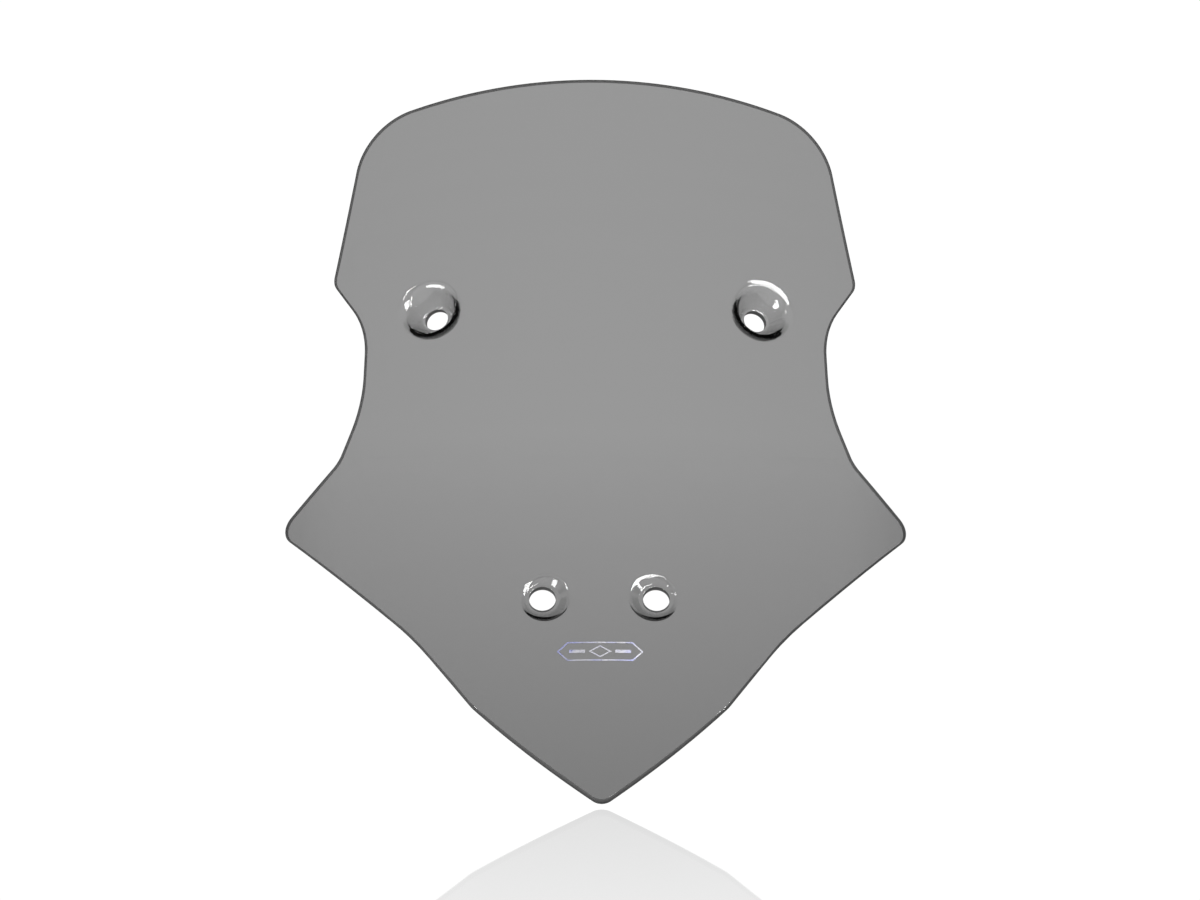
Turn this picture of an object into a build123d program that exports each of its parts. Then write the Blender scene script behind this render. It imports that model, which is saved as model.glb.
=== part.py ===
from build123d import *
import math
import os

# Motorcycle windshield screen: one thermoformed sheet of smoked acrylic with
# four open fixing holes in formed pockets, and a thin foil emblem on its front.
# Row frame, in millimetres: +X to the right of someone facing the screen,
# +Y towards the rider, +Z up. The origin is midway between the lower holes,
# in the plane of their pocket floors' front faces.
# The sheet is drawn upright in its own frame and then leaned back about X.

# Sheet
LEAN = 34.0  # backward lean of the lower pocket floors from the vertical, in degrees
SHEET_T = 4.0  # thickness of the sheet
WRAP_R = 395.0  # horizontal radius of the front face, level with the lower holes
FLIP_R = 1640.0  # vertical radius: the top and the tip flick gently forwards
EDGE_R = 1.4  # rounding of the polished edge, which is cut square to the sheet

# Outline, right half, as (across, up) in the upright frame
TOP_MID = (0.0, 377.0)
TOP_CORNER = (159.6, 362.0)
EAR = (176.0, 248.0)
WAIST_HIGH = (150.8, 207.5)
WAIST_LOW = (150.0, 151.0)
WING_ROOT = (163.0, 112.5)
WING_TIP = (199.9, 73.0)
FLANK = (108.4, -19.4)
CHIN = (72.5, -67.0)
CHIN_BULGE = (41.0, -97.0)
BOTTOM_TIP = (0.0, -129.5)

TOP_CORNER_R = 44.0
EAR_R = 14.0
WAIST_HIGH_R = 70.0
WAIST_LOW_R = 120.0
WING_ROOT_R = 25.0
WING_TIP_R = 12.5
FLANK_R = 250.0
CHIN_R = 30.0
BOTTOM_TIP_R = 8.5

# Fixing holes
HOLE_R = 7.75  # open hole for a rubber bush
HOLE_BREAK = 0.4  # broken sharp edge round each hole

# Lower pockets: shallow, facing straight forwards
LOWER_X = 33.0  # each side of the middle
LOWER_DEPTH = 2.2  # floor below the sheet's front face, on the hole's axis
LOWER_FLOOR_R = 10.0
LOWER_SLOPE = 58.0  # wall's angle from the hole's axis
LOWER_RIM_R = 4.0  # rounding of the rim on the front
LOWER_BACK_RIM_R = 1.0  # inside corner behind the rim
LOWER_HEEL_R = 3.0  # rounding behind the floor's edge

# Upper pockets: deep cones, square to the sheet
UPPER_X = 108.4
UPPER_Z = 212.0
UPPER_DEPTH = 14.5
UPPER_FLOOR_R = 9.0
UPPER_SLOPE = 32.0
UPPER_RIM_R = 8.5
UPPER_BACK_RIM_R = 4.5
UPPER_HEEL_R = 4.5

FLOOR_FILLET = 1.2  # inside corner between a floor and its wall

# Emblem: cut foil on the front face, between the lower holes and the tip
FOIL_T = 0.2
EMBLEM_Z = -36.0
EMBLEM_W = 49.0
EMBLEM_H = 12.0
EMBLEM_POINT = 6.0  # how far each end tapers to its point
FOIL_LINE = 0.8  # width of the border's and the diamond's line
DIAMOND_W = 13.0
DIAMOND_H = 7.6
BAR_H = 2.0
BAR_IN = 8.5  # bar's near and far ends, from the emblem's middle
BAR_OUT = 17.5

# Working sizes
SPAN_LOW = -150.0  # the sheet is drawn past its outline, then trimmed to it
SPAN_HIGH = 400.0
SWEEP = 80.0  # total angle of the drawn sheet about the wrap axis
REACH = 600.0  # depth of the trimming prisms
BEHIND = 40.0  # how far behind the front face a pocket's outside is drawn
BORE_L = 16.0  # length of the drill that makes each hole
CLEAR = 2.0  # a pocket's cutter stands this many times its depth above the floor

AXIS_Y = math.sqrt(WRAP_R**2 - LOWER_X**2) - LOWER_DEPTH
WRAP_AXIS = Axis((0, AXIS_Y, 0), (0, 0, 1))
FLIP_CENTRE_Y = AXIS_Y - WRAP_R - FLIP_R
LEAN_BACK = Rot(X=-LEAN)


def wrap_radius(height):
    """Distance of the front face from the wrap axis at a height."""
    return WRAP_R + FLIP_R - math.sqrt(FLIP_R**2 - height**2)


def front_y(across, height):
    """Front face in the upright frame."""
    return AXIS_Y - math.sqrt(wrap_radius(height) ** 2 - across**2)


def flip_point(behind, height):
    """Point on the middle line, a distance behind the front face along its normal."""
    angle = math.asin(height / FLIP_R)
    radius = FLIP_R + behind
    return (0, FLIP_CENTRE_Y + radius * math.cos(angle), radius * math.sin(angle))


def layer(front, back):
    """Part of the double-curved sheet between two depths behind the front face."""
    heights = (SPAN_LOW, 0, SPAN_HIGH)
    front_arc = ThreePointArc(*[flip_point(front, z) for z in heights])
    back_arc = ThreePointArc(*[flip_point(back, z) for z in heights])
    low_end = Line(front_arc @ 0, back_arc @ 0)
    high_end = Line(front_arc @ 1, back_arc @ 1)
    profile = make_face([front_arc, high_end, back_arc, low_end])
    start = profile.rotate(WRAP_AXIS, -SWEEP / 2)
    return revolve(start, WRAP_AXIS, revolution_arc=SWEEP)


def prism(face):
    """Drawing in the upright frame's X-Z plane, run through the sheet."""
    return extrude(face, REACH / 2, both=True)


def on_plane(point):
    return Vector(point[0], 0, point[1])


def mirrored(point):
    return (-point[0], point[1])


def rounded(face, point, radius):
    """Round one corner of a drawing."""
    corner = face.vertices().sort_by_distance(on_plane(point))[0]
    return fillet(corner, radius)


def outline():
    """Outside shape of the screen."""
    right = [TOP_CORNER, EAR, WAIST_HIGH, WAIST_LOW, WING_ROOT, WING_TIP, FLANK, CHIN]
    left = [mirrored(p) for p in right]
    edges = [ThreePointArc(on_plane(left[0]), on_plane(TOP_MID), on_plane(right[0]))]
    for side in (right, left):
        edges += [Line(on_plane(start), on_plane(end)) for start, end in zip(side, side[1:])]
    edges.append(ThreePointArc(on_plane(CHIN), on_plane(CHIN_BULGE), on_plane(BOTTOM_TIP)))
    left_bulge = on_plane(mirrored(CHIN_BULGE))
    edges.append(ThreePointArc(on_plane(BOTTOM_TIP), left_bulge, on_plane(left[-1])))
    radii = [TOP_CORNER_R, EAR_R, WAIST_HIGH_R, WAIST_LOW_R]
    radii += [WING_ROOT_R, WING_TIP_R, FLANK_R, CHIN_R]
    face = make_face(edges)
    for point, radius in zip(right, radii):
        face = rounded(face, point, radius)
        face = rounded(face, mirrored(point), radius)
    return rounded(face, BOTTOM_TIP, BOTTOM_TIP_R)


def lower_seat(side):
    """Plane of a lower pocket's floor: Z is the hole's axis, out of the front."""
    return Plane(origin=(side * LOWER_X, 0, 0), x_dir=(1, 0, 0), z_dir=(0, -1, 0))


def upper_seat(side):
    """Plane of an upper pocket's floor, parallel to the sheet in front of it."""
    height = UPPER_Z
    radius = wrap_radius(height)
    azimuth = math.asin(UPPER_X / radius)
    dip = math.asin(height / FLIP_R)
    outward = Vector(
        side * math.sin(azimuth) * math.cos(dip),
        -math.cos(azimuth) * math.cos(dip),
        -math.sin(dip),
    )
    on_front = Vector(side * UPPER_X, front_y(UPPER_X, height), height)
    return Plane(origin=on_front - outward * UPPER_DEPTH, x_dir=(1, 0, 0), z_dir=outward)


def cone(seat, bottom, bottom_r, height, slope):
    """Cone that widens forwards from a depth on a pocket's axis."""
    top_r = bottom_r + height * math.tan(math.radians(slope))
    top = bottom + height
    points = [(0, 0, bottom), (bottom_r, 0, bottom), (top_r, 0, top), (0, 0, top)]
    profile = make_face(Polyline(*points, close=True))
    return seat.location * revolve(profile, Axis.Z)


def pocket_cavity(seat, depth, floor_r, slope):
    """Hollow of a pocket, from its floor to in front of the sheet."""
    return cone(seat, 0, floor_r, CLEAR * depth, slope)


def heel_radius(floor_r, slope):
    """Outside radius of a pocket's floor, where the wall keeps the sheet's thickness."""
    angle = math.radians(slope)
    return floor_r + SHEET_T / math.cos(angle) - SHEET_T * math.tan(angle)


def pocket_boss(seat, depth, floor_r, slope):
    """Outside of a pocket behind the sheet."""
    return cone(seat, -SHEET_T, heel_radius(floor_r, slope), depth + SHEET_T, slope)


def bore(seat):
    """Hole through a pocket's floor."""
    return seat.location * Cylinder(HOLE_R, BORE_L)


def pocket(panel, behind, seat, depth, floor_r, slope):
    """Form one pocket and drill its hole."""
    panel += pocket_boss(seat, depth, floor_r, slope) & behind
    panel -= pocket_cavity(seat, depth, floor_r, slope)
    return panel - bore(seat)


def softened(panel, seat, radius, height, softening):
    """Round the circular edge nearest to a radius and height about a hole's axis."""
    target = seat.from_local_coords(Vector(0, radius, height))
    edges = panel.edges().filter_by(GeomType.LINE, reverse=True)
    return fillet(edges.sort_by_distance(target)[0], softening)


def finished_pocket(panel, seat, depth, floor_r, slope, rim_r, back_rim_r, heel_r):
    """Round every edge of one pocket."""
    spread = math.tan(math.radians(slope))
    heel = heel_radius(floor_r, slope)
    panel = softened(panel, seat, floor_r + depth * spread, depth, rim_r)
    panel = softened(panel, seat, floor_r, 0, FLOOR_FILLET)
    panel = softened(panel, seat, heel + depth * spread, depth - SHEET_T, back_rim_r)
    panel = softened(panel, seat, heel, -SHEET_T, heel_r)
    panel = softened(panel, seat, HOLE_R, 0, HOLE_BREAK)
    return softened(panel, seat, HOLE_R, -SHEET_T, HOLE_BREAK)


def screen_panel():
    """The formed sheet with its pockets and holes."""
    trimmed = layer(0, SHEET_T) & prism(outline())
    front = trimmed.faces().filter_by(GeomType.TORUS).sort_by(Axis.Y)[0]
    blank = thicken(front, amount=-SHEET_T)
    skins = blank.faces().sort_by(SortBy.AREA)[-2:]
    panel = fillet([edge for skin in skins for edge in skin.edges()], EDGE_R)
    behind = layer(SHEET_T / 2, BEHIND)
    for side in (-1, 1):
        lower = (lower_seat(side), LOWER_DEPTH, LOWER_FLOOR_R, LOWER_SLOPE)
        upper = (upper_seat(side), UPPER_DEPTH, UPPER_FLOOR_R, UPPER_SLOPE)
        panel = pocket(panel, behind, *lower)
        panel = finished_pocket(panel, *lower, LOWER_RIM_R, LOWER_BACK_RIM_R, LOWER_HEEL_R)
        panel = pocket(panel, behind, *upper)
        panel = finished_pocket(panel, *upper, UPPER_RIM_R, UPPER_BACK_RIM_R, UPPER_HEEL_R)
    return panel


def drawing(points):
    """Closed straight-sided outline about the emblem's middle, seen from the front."""
    corners = [(x, 0, EMBLEM_Z + z) for x, z in points]
    return make_face(Polyline(*corners, close=True))


def hexagon(width, height, point):
    """Long hexagon with a point at each end."""
    half_w = width / 2
    half_h = height / 2
    right = [(half_w - point, half_h), (half_w, 0), (half_w - point, -half_h)]
    left = [(-x, z) for x, z in reversed(right)]
    return drawing(right + left)


def diamond(width, height):
    half_w = width / 2
    half_h = height / 2
    return drawing([(half_w, 0), (0, half_h), (-half_w, 0), (0, -half_h)])


def emblem_border():
    """Long hexagonal frame with a line of even width."""
    rise = EMBLEM_H / 2
    end_inset = FOIL_LINE * math.hypot(EMBLEM_POINT, rise) / rise
    inner_h = EMBLEM_H - 2 * FOIL_LINE
    inner_point = EMBLEM_POINT * inner_h / EMBLEM_H
    inner = hexagon(EMBLEM_W - 2 * end_inset, inner_h, inner_point)
    return foil(hexagon(EMBLEM_W, EMBLEM_H, EMBLEM_POINT) - inner)


def emblem_diamond():
    """Diamond frame in the middle of the border."""
    inner_h = DIAMOND_H - 2 * FOIL_LINE
    inner_w = DIAMOND_W * inner_h / DIAMOND_H
    return foil(diamond(DIAMOND_W, DIAMOND_H) - diamond(inner_w, inner_h))


def emblem_bar(side):
    """Short bar on one side of the diamond."""
    near = side * BAR_IN
    far = side * BAR_OUT
    rise = BAR_H / 2
    return foil(drawing([(near, rise), (far, rise), (far, -rise), (near, -rise)]))


def foil(face):
    """Foil laid on the front of the sheet where a drawing falls."""
    return layer(-FOIL_T, 0) & prism(face)


def export(shape, name):
    export_step(LEAN_BACK * shape, f"parts/{name}.step")


def main():
    os.makedirs("parts", exist_ok=True)
    export(screen_panel(), "screen_panel")
    export(emblem_border(), "emblem_border")
    export(emblem_diamond(), "emblem_diamond")
    export(emblem_bar(-1), "emblem_bar_left")
    export(emblem_bar(1), "emblem_bar_right")


main()
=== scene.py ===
import math

import bpy
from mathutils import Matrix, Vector


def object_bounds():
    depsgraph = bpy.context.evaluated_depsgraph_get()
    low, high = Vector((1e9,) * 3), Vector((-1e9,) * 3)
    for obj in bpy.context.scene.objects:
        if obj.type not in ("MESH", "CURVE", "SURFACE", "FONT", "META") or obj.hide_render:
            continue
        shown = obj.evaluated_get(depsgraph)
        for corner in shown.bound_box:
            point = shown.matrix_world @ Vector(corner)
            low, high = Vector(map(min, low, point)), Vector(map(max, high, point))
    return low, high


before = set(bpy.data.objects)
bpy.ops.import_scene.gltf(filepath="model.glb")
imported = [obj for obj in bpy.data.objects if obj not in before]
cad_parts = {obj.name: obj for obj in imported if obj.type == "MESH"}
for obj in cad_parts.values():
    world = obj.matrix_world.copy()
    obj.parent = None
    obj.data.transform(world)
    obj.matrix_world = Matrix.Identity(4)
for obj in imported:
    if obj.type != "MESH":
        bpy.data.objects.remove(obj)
CAD_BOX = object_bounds()

# The camera is level and looks along +Y, a little from the left (metres, degrees)
CAMERA_DISTANCE = 0.9651
CAMERA_HEIGHT = 0.0861
CAMERA_YAW = 1.26
CAMERA_ROLL = 0.22
LENS = 50.0
SENSOR = 36.0

# Floor, just under the screen's foot
FLOOR_GAP = 0.0015
FLOOR_HALF = 40.0
FLOOR_IOR = 1.42
FLOOR_ROUGHNESS = 0.03
PURE_WHITE = (1, 1, 1, 1)
WHITE = 1.03  # a little over white, so that floor and backdrop meet unseen

# Smoked acrylic
ACRYLIC_IOR = 1.49
SMOKE_COLOR = (0.1, 0.1, 0.1, 1)
SMOKE_DENSITY = 328.0  # per metre, with the smoke's colour
SHEET_LEAN = math.radians(34)
WRAP_RADIUS = 0.395  # of the sheet, across it
FLIP_RADIUS = 1.64  # of the sheet, along it
RIM_SPAN = (0.98, 0.995)  # cut edge to polished face, by the cosine from that normal
BORE_SPAN = (0.2, 0.45)  # hole to pocket wall, by the same cosine
POCKETS = ((0.033, 0.0, 0.0), (0.1062, 0.1234, 0.1738))  # right-hand pair, in metres
POCKET_REACH = (0.026, 0.03)  # distance at which a pocket ends, in metres
# Painted shade: share of the colour left on the cut edges and in the holes, drawing their dark
# outline
EDGE_SHADE = 0.12
EDGE_ROUGHNESS = 0.8
# Painted shade: the sheet's colour darkens towards its foot, down to the low share at the bottom
FOOT_SHADE_SPAN = (-0.12, 0.095)  # heights between which the painted shade at the foot fades out upwards
FOOT_SHADE_LOW = 0.55
RIPPLE_SCALE = 25.0  # forming ripple, per metre
RIPPLE_DEPTH = 0.00001
SMEAR_SCALE = 9.0  # faint dull patches, per metre
SMEAR_SPAN = (0.45, 0.8)
SMEAR_ROUGHNESS = 0.02

# Foil of the emblem
FOIL_SILVER = (0.33, 0.33, 0.36, 1)
FOIL_LAVENDER = (0.22, 0.23, 0.38, 1)
FOIL_SHIFT_SCALE = 90.0  # per metre
FOIL_SHIFT_SPAN = (0.4, 0.65)  # from silver to lavender
FOIL_GRAIN_SCALE = 1500.0  # per metre
FOIL_GRAIN_SPAN = (0.3, 0.7)
FOIL_ROUGHNESS = (0.25, 0.4)

# Backdrop, by the sine of the elevation: a bright wall all round, dark above it,
# and a soft overhead panel on the front side
WALL_TOP = (math.sin(math.radians(17)), math.sin(math.radians(24)))
PANEL_FOOT = (math.sin(math.radians(26)), math.sin(math.radians(34)))
PANEL_TOP = (math.sin(math.radians(72)), math.sin(math.radians(80)))
PANEL_SIDE = (-0.1, 0.2)  # how far the panel reaches round the sides
PANEL_LIGHT = 1.0
DARK = 0.02

# Softboxes, aimed at the middle of the screen: azimuth to the right of -Y,
# elevation, width and height in degrees, distance in metres
SOFTBOX_RADIANCE = 20.0
SOFTBOXES = {
    "right_box": (31.0, 33.0, 35.0, 24.0, 1.5),
    "right_strip": (34.0, 13.0, 44.0, 5.0, 1.5),
    "left_low_box": (-50.0, -10.0, 40.0, 26.0, 0.75),
    "left_high_box": (-38.0, 43.0, 10.0, 5.0, 1.5),
}

EMBLEM = ("emblem_border", "emblem_diamond", "emblem_bar_left", "emblem_bar_right")


def new_material(name):
    material = bpy.data.materials.new(name)
    material.use_nodes = True
    material.node_tree.nodes.clear()
    return material


def add(tree, kind, inputs, **values):
    """Add a node, set its properties, and set or link its inputs."""
    node = tree.nodes.new(kind)
    for key, value in values.items():
        setattr(node, key, value)
    for key, value in inputs.items():
        if isinstance(value, bpy.types.NodeSocket):
            tree.links.new(value, node.inputs[key])
        else:
            node.inputs[key].default_value = value
    return node


def ramp(tree, value, span, start=0.0, end=1.0, kind="SMOOTHSTEP"):
    """Change from start to end while a value goes through a span."""
    inputs = {"Value": value, "From Min": span[0], "From Max": span[1]}
    inputs.update({"To Min": start, "To Max": end})
    node = add(tree, "ShaderNodeMapRange", inputs, interpolation_type=kind)
    return node.outputs["Result"]


def math_node(tree, operation, first, second=0.0):
    return add(tree, "ShaderNodeMath", {0: first, 1: second}, operation=operation).outputs[0]


def noise(tree, scale, detail):
    place = add(tree, "ShaderNodeTexCoord", {})
    inputs = {"Vector": place.outputs["Object"], "Scale": scale, "Detail": detail}
    return add(tree, "ShaderNodeTexNoise", inputs).outputs["Fac"]


def split(tree, vector):
    return add(tree, "ShaderNodeSeparateXYZ", {0: vector}).outputs


def upright(tree, vector):
    """Turn a vector from the leaning sheet's frame to one with the sheet upright."""
    inputs = {"Vector": vector, "Angle": SHEET_LEAN}
    return add(tree, "ShaderNodeVectorRotate", inputs, rotation_type="X_AXIS").outputs[0]


def facing(tree, place):
    """Cosine of the angle between the surface and the formed sheet's own normal."""
    axes = split(tree, upright(tree, place))
    across = math_node(tree, "DIVIDE", axes["X"], WRAP_RADIUS)
    along = math_node(tree, "DIVIDE", axes["Z"], -FLIP_RADIUS)
    squares = math_node(tree, "POWER", across, 2.0), math_node(tree, "POWER", along, 2.0)
    rest = math_node(tree, "SUBTRACT", 1.0, math_node(tree, "ADD", *squares))
    forward = math_node(tree, "MULTIPLY", math_node(tree, "SQRT", rest), -1.0)
    formed = add(tree, "ShaderNodeCombineXYZ", {"X": across, "Y": forward, "Z": along}).outputs[0]
    normal = upright(tree, add(tree, "ShaderNodeNewGeometry", {}).outputs["Normal"])
    dot = add(tree, "ShaderNodeVectorMath", {0: formed, 1: normal}, operation="DOT_PRODUCT")
    return math_node(tree, "ABSOLUTE", dot.outputs["Value"])


def in_pocket(tree, place):
    """One inside the four pockets, zero away from them."""
    axes = split(tree, place)
    folded_x = math_node(tree, "ABSOLUTE", axes["X"])
    folded = add(tree, "ShaderNodeCombineXYZ", {"X": folded_x, "Y": axes["Y"], "Z": axes["Z"]})
    gaps = []
    for pocket in POCKETS:
        ends = {0: folded.outputs[0], 1: pocket}
        gap = add(tree, "ShaderNodeVectorMath", ends, operation="DISTANCE")
        gaps.append(gap.outputs["Value"])
    return ramp(tree, math_node(tree, "MINIMUM", *gaps), POCKET_REACH, 1.0, 0.0)


def polish_and_shade_mask(tree, place):
    """One on the glossy faces, zero on the cut edges and in the holes, which take both the duller
    finish and the painted shade.
    """
    flat = facing(tree, place)
    rim = math_node(tree, "MAXIMUM", ramp(tree, flat, RIM_SPAN), in_pocket(tree, place))
    return math_node(tree, "MULTIPLY", rim, ramp(tree, flat, BORE_SPAN))


def smoked_acrylic():
    """Clear smoked sheet with glossy faces; painted shade darkens its colour towards its foot and
    on its cut edges and in its holes, which are also duller.
    """
    material = new_material("smoked_acrylic")
    tree = material.node_tree
    ripple_inputs = {"Height": noise(tree, RIPPLE_SCALE, 1.0), "Distance": RIPPLE_DEPTH}
    ripple = add(tree, "ShaderNodeBump", ripple_inputs)
    place = add(tree, "ShaderNodeTexCoord", {}).outputs["Object"]
    polish_and_shade = polish_and_shade_mask(tree, place)
    # Painted shade: the colour darkens towards the foot
    foot_shade = ramp(tree, split(tree, place)["Z"], FOOT_SHADE_SPAN, FOOT_SHADE_LOW, 1.0, "LINEAR")
    # Base colour: the painted foot shade times the painted shade on the cut edges and in the holes
    base_colour = math_node(tree, "MULTIPLY", foot_shade, ramp(tree, polish_and_shade, (0.0, 1.0), EDGE_SHADE, 1.0))
    smear = ramp(tree, noise(tree, SMEAR_SCALE, 3.0), SMEAR_SPAN, 0.0, SMEAR_ROUGHNESS)
    dull = ramp(tree, polish_and_shade, (0.0, 1.0), EDGE_ROUGHNESS, 0.0)
    surface_inputs = {
        "Base Color": base_colour,
        "Roughness": math_node(tree, "ADD", smear, dull),
        "IOR": ACRYLIC_IOR,
        "Transmission Weight": 1.0,
        "Normal": ripple.outputs["Normal"],
    }
    surface = add(tree, "ShaderNodeBsdfPrincipled", surface_inputs)
    smoke_inputs = {"Color": SMOKE_COLOR, "Density": SMOKE_DENSITY}
    smoke = add(tree, "ShaderNodeVolumeAbsorption", smoke_inputs)
    outputs = {"Surface": surface.outputs[0], "Volume": smoke.outputs[0]}
    add(tree, "ShaderNodeOutputMaterial", outputs)
    return material


def foil():
    """Silvery foil that shifts to lavender, with a fine grain."""
    material = new_material("foil")
    tree = material.node_tree
    base_colour = add(tree, "ShaderNodeValToRGB", {"Fac": noise(tree, FOIL_SHIFT_SCALE, 2.0)})
    low, high = base_colour.color_ramp.elements
    low.position, high.position = FOIL_SHIFT_SPAN
    low.color = FOIL_SILVER
    high.color = FOIL_LAVENDER
    grain = noise(tree, FOIL_GRAIN_SCALE, 2.0)
    surface_inputs = {
        "Base Color": base_colour.outputs["Color"],
        "Metallic": 1.0,
        "Roughness": ramp(tree, grain, FOIL_GRAIN_SPAN, *FOIL_ROUGHNESS),
    }
    surface = add(tree, "ShaderNodeBsdfPrincipled", surface_inputs)
    add(tree, "ShaderNodeOutputMaterial", {"Surface": surface.outputs[0]})
    return material


def dress(node, material):
    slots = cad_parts[node].data.materials
    slots.clear()
    slots.append(material)


def floor_material():
    """White floor with a thin gloss, so that the screen's foot mirrors faintly."""
    material = new_material("floor_white")
    tree = material.node_tree
    glow = add(tree, "ShaderNodeEmission", {"Color": PURE_WHITE, "Strength": WHITE})
    gloss = add(tree, "ShaderNodeBsdfGlossy", {"Color": PURE_WHITE, "Roughness": FLOOR_ROUGHNESS})
    share = add(tree, "ShaderNodeFresnel", {"IOR": FLOOR_IOR})
    mix_inputs = {0: share.outputs[0], 1: glow.outputs[0], 2: gloss.outputs[0]}
    mix = add(tree, "ShaderNodeMixShader", mix_inputs)
    add(tree, "ShaderNodeOutputMaterial", {"Surface": mix.outputs[0]})
    material.cycles.emission_sampling = "NONE"
    return material


def floor():
    height = CAD_BOX[0][2] - FLOOR_GAP
    near, far = -FLOOR_HALF, FLOOR_HALF
    corners = [(near, near, height), (far, near, height), (far, far, height), (near, far, height)]
    mesh = bpy.data.meshes.new("floor")
    mesh.from_pydata(corners, [], [(0, 1, 2, 3)])
    mesh.materials.append(floor_material())
    plane = bpy.data.objects.new("floor", mesh)
    bpy.context.scene.collection.objects.link(plane)
    return plane


def without(plane):
    """Collection that keeps the softboxes out of the floor's gloss."""
    spared = bpy.data.collections.new("spared")
    spared.objects.link(plane)
    spared.collection_objects[0].light_linking.link_state = "EXCLUDE"
    return spared


def backdrop():
    """White straight behind the screen; the shaped studio shows only in the acrylic."""
    world = bpy.data.worlds.new("studio")
    world.use_nodes = True
    tree = world.node_tree
    tree.nodes.clear()
    direction = add(tree, "ShaderNodeTexCoord", {}).outputs["Generated"]
    axes = add(tree, "ShaderNodeSeparateXYZ", {0: direction}).outputs
    rise = axes["Z"]
    frontness = math_node(tree, "MULTIPLY", axes["Y"], -1.0)
    wall = ramp(tree, rise, WALL_TOP, WHITE, DARK)
    over_foot = ramp(tree, rise, PANEL_FOOT)
    under_top = ramp(tree, rise, PANEL_TOP, 1.0, 0.0)
    panel = math_node(tree, "MULTIPLY", over_foot, under_top)
    panel = math_node(tree, "MULTIPLY", panel, ramp(tree, frontness, PANEL_SIDE, 0.0, PANEL_LIGHT))
    studio = math_node(tree, "ADD", wall, panel)
    seen = add(tree, "ShaderNodeLightPath", {}).outputs["Is Camera Ray"]
    plain = math_node(tree, "MULTIPLY", seen, WHITE)
    hidden = math_node(tree, "SUBTRACT", 1.0, seen)
    strength = math_node(tree, "ADD", plain, math_node(tree, "MULTIPLY", hidden, studio))
    light = add(tree, "ShaderNodeBackground", {"Color": PURE_WHITE, "Strength": strength})
    add(tree, "ShaderNodeOutputWorld", {"Surface": light.outputs[0]})
    bpy.context.scene.world = world


def camera():
    data = bpy.data.cameras.new("camera")
    data.lens = LENS
    data.sensor_width = SENSOR
    shot = bpy.data.objects.new("camera", data)
    bpy.context.scene.collection.objects.link(shot)
    yaw = math.radians(CAMERA_YAW)
    left = -CAMERA_DISTANCE * math.sin(yaw)
    back = -CAMERA_DISTANCE * math.cos(yaw)
    shot.location = (left, back, CAMERA_HEIGHT)
    shot.rotation_euler = (math.pi / 2, -math.radians(CAMERA_ROLL), -yaw)
    bpy.context.scene.camera = shot


def softbox(name, receivers, azimuth, elevation, width, height, distance):
    """Rectangular lamp that shows only as a reflection."""
    centre = (Vector(CAD_BOX[0]) + Vector(CAD_BOX[1])) / 2
    around = math.radians(azimuth)
    rise = math.radians(elevation)
    level = math.cos(rise)
    aim = Vector((math.sin(around) * level, -math.cos(around) * level, math.sin(rise)))
    data = bpy.data.lights.new(name, "AREA")
    data.shape = "RECTANGLE"
    data.size = 2 * distance * math.tan(math.radians(width / 2))
    data.size_y = 2 * distance * math.tan(math.radians(height / 2))
    data.energy = SOFTBOX_RADIANCE * math.pi * data.size * data.size_y
    lamp = bpy.data.objects.new(name, data)
    bpy.context.scene.collection.objects.link(lamp)
    lamp.location = centre + distance * aim
    lamp.rotation_euler = aim.to_track_quat("Z", "Y").to_euler()
    lamp.visible_camera = False
    lamp.visible_transmission = False
    lamp.light_linking.receiver_collection = receivers


bpy.context.scene.view_settings.view_transform = "Standard"
dress("screen_panel", smoked_acrylic())
emblem_foil = foil()
for node in EMBLEM:
    dress(node, emblem_foil)
receivers = without(floor())
backdrop()
camera()
for name, place in SOFTBOXES.items():
    softbox(name, receivers, *place)
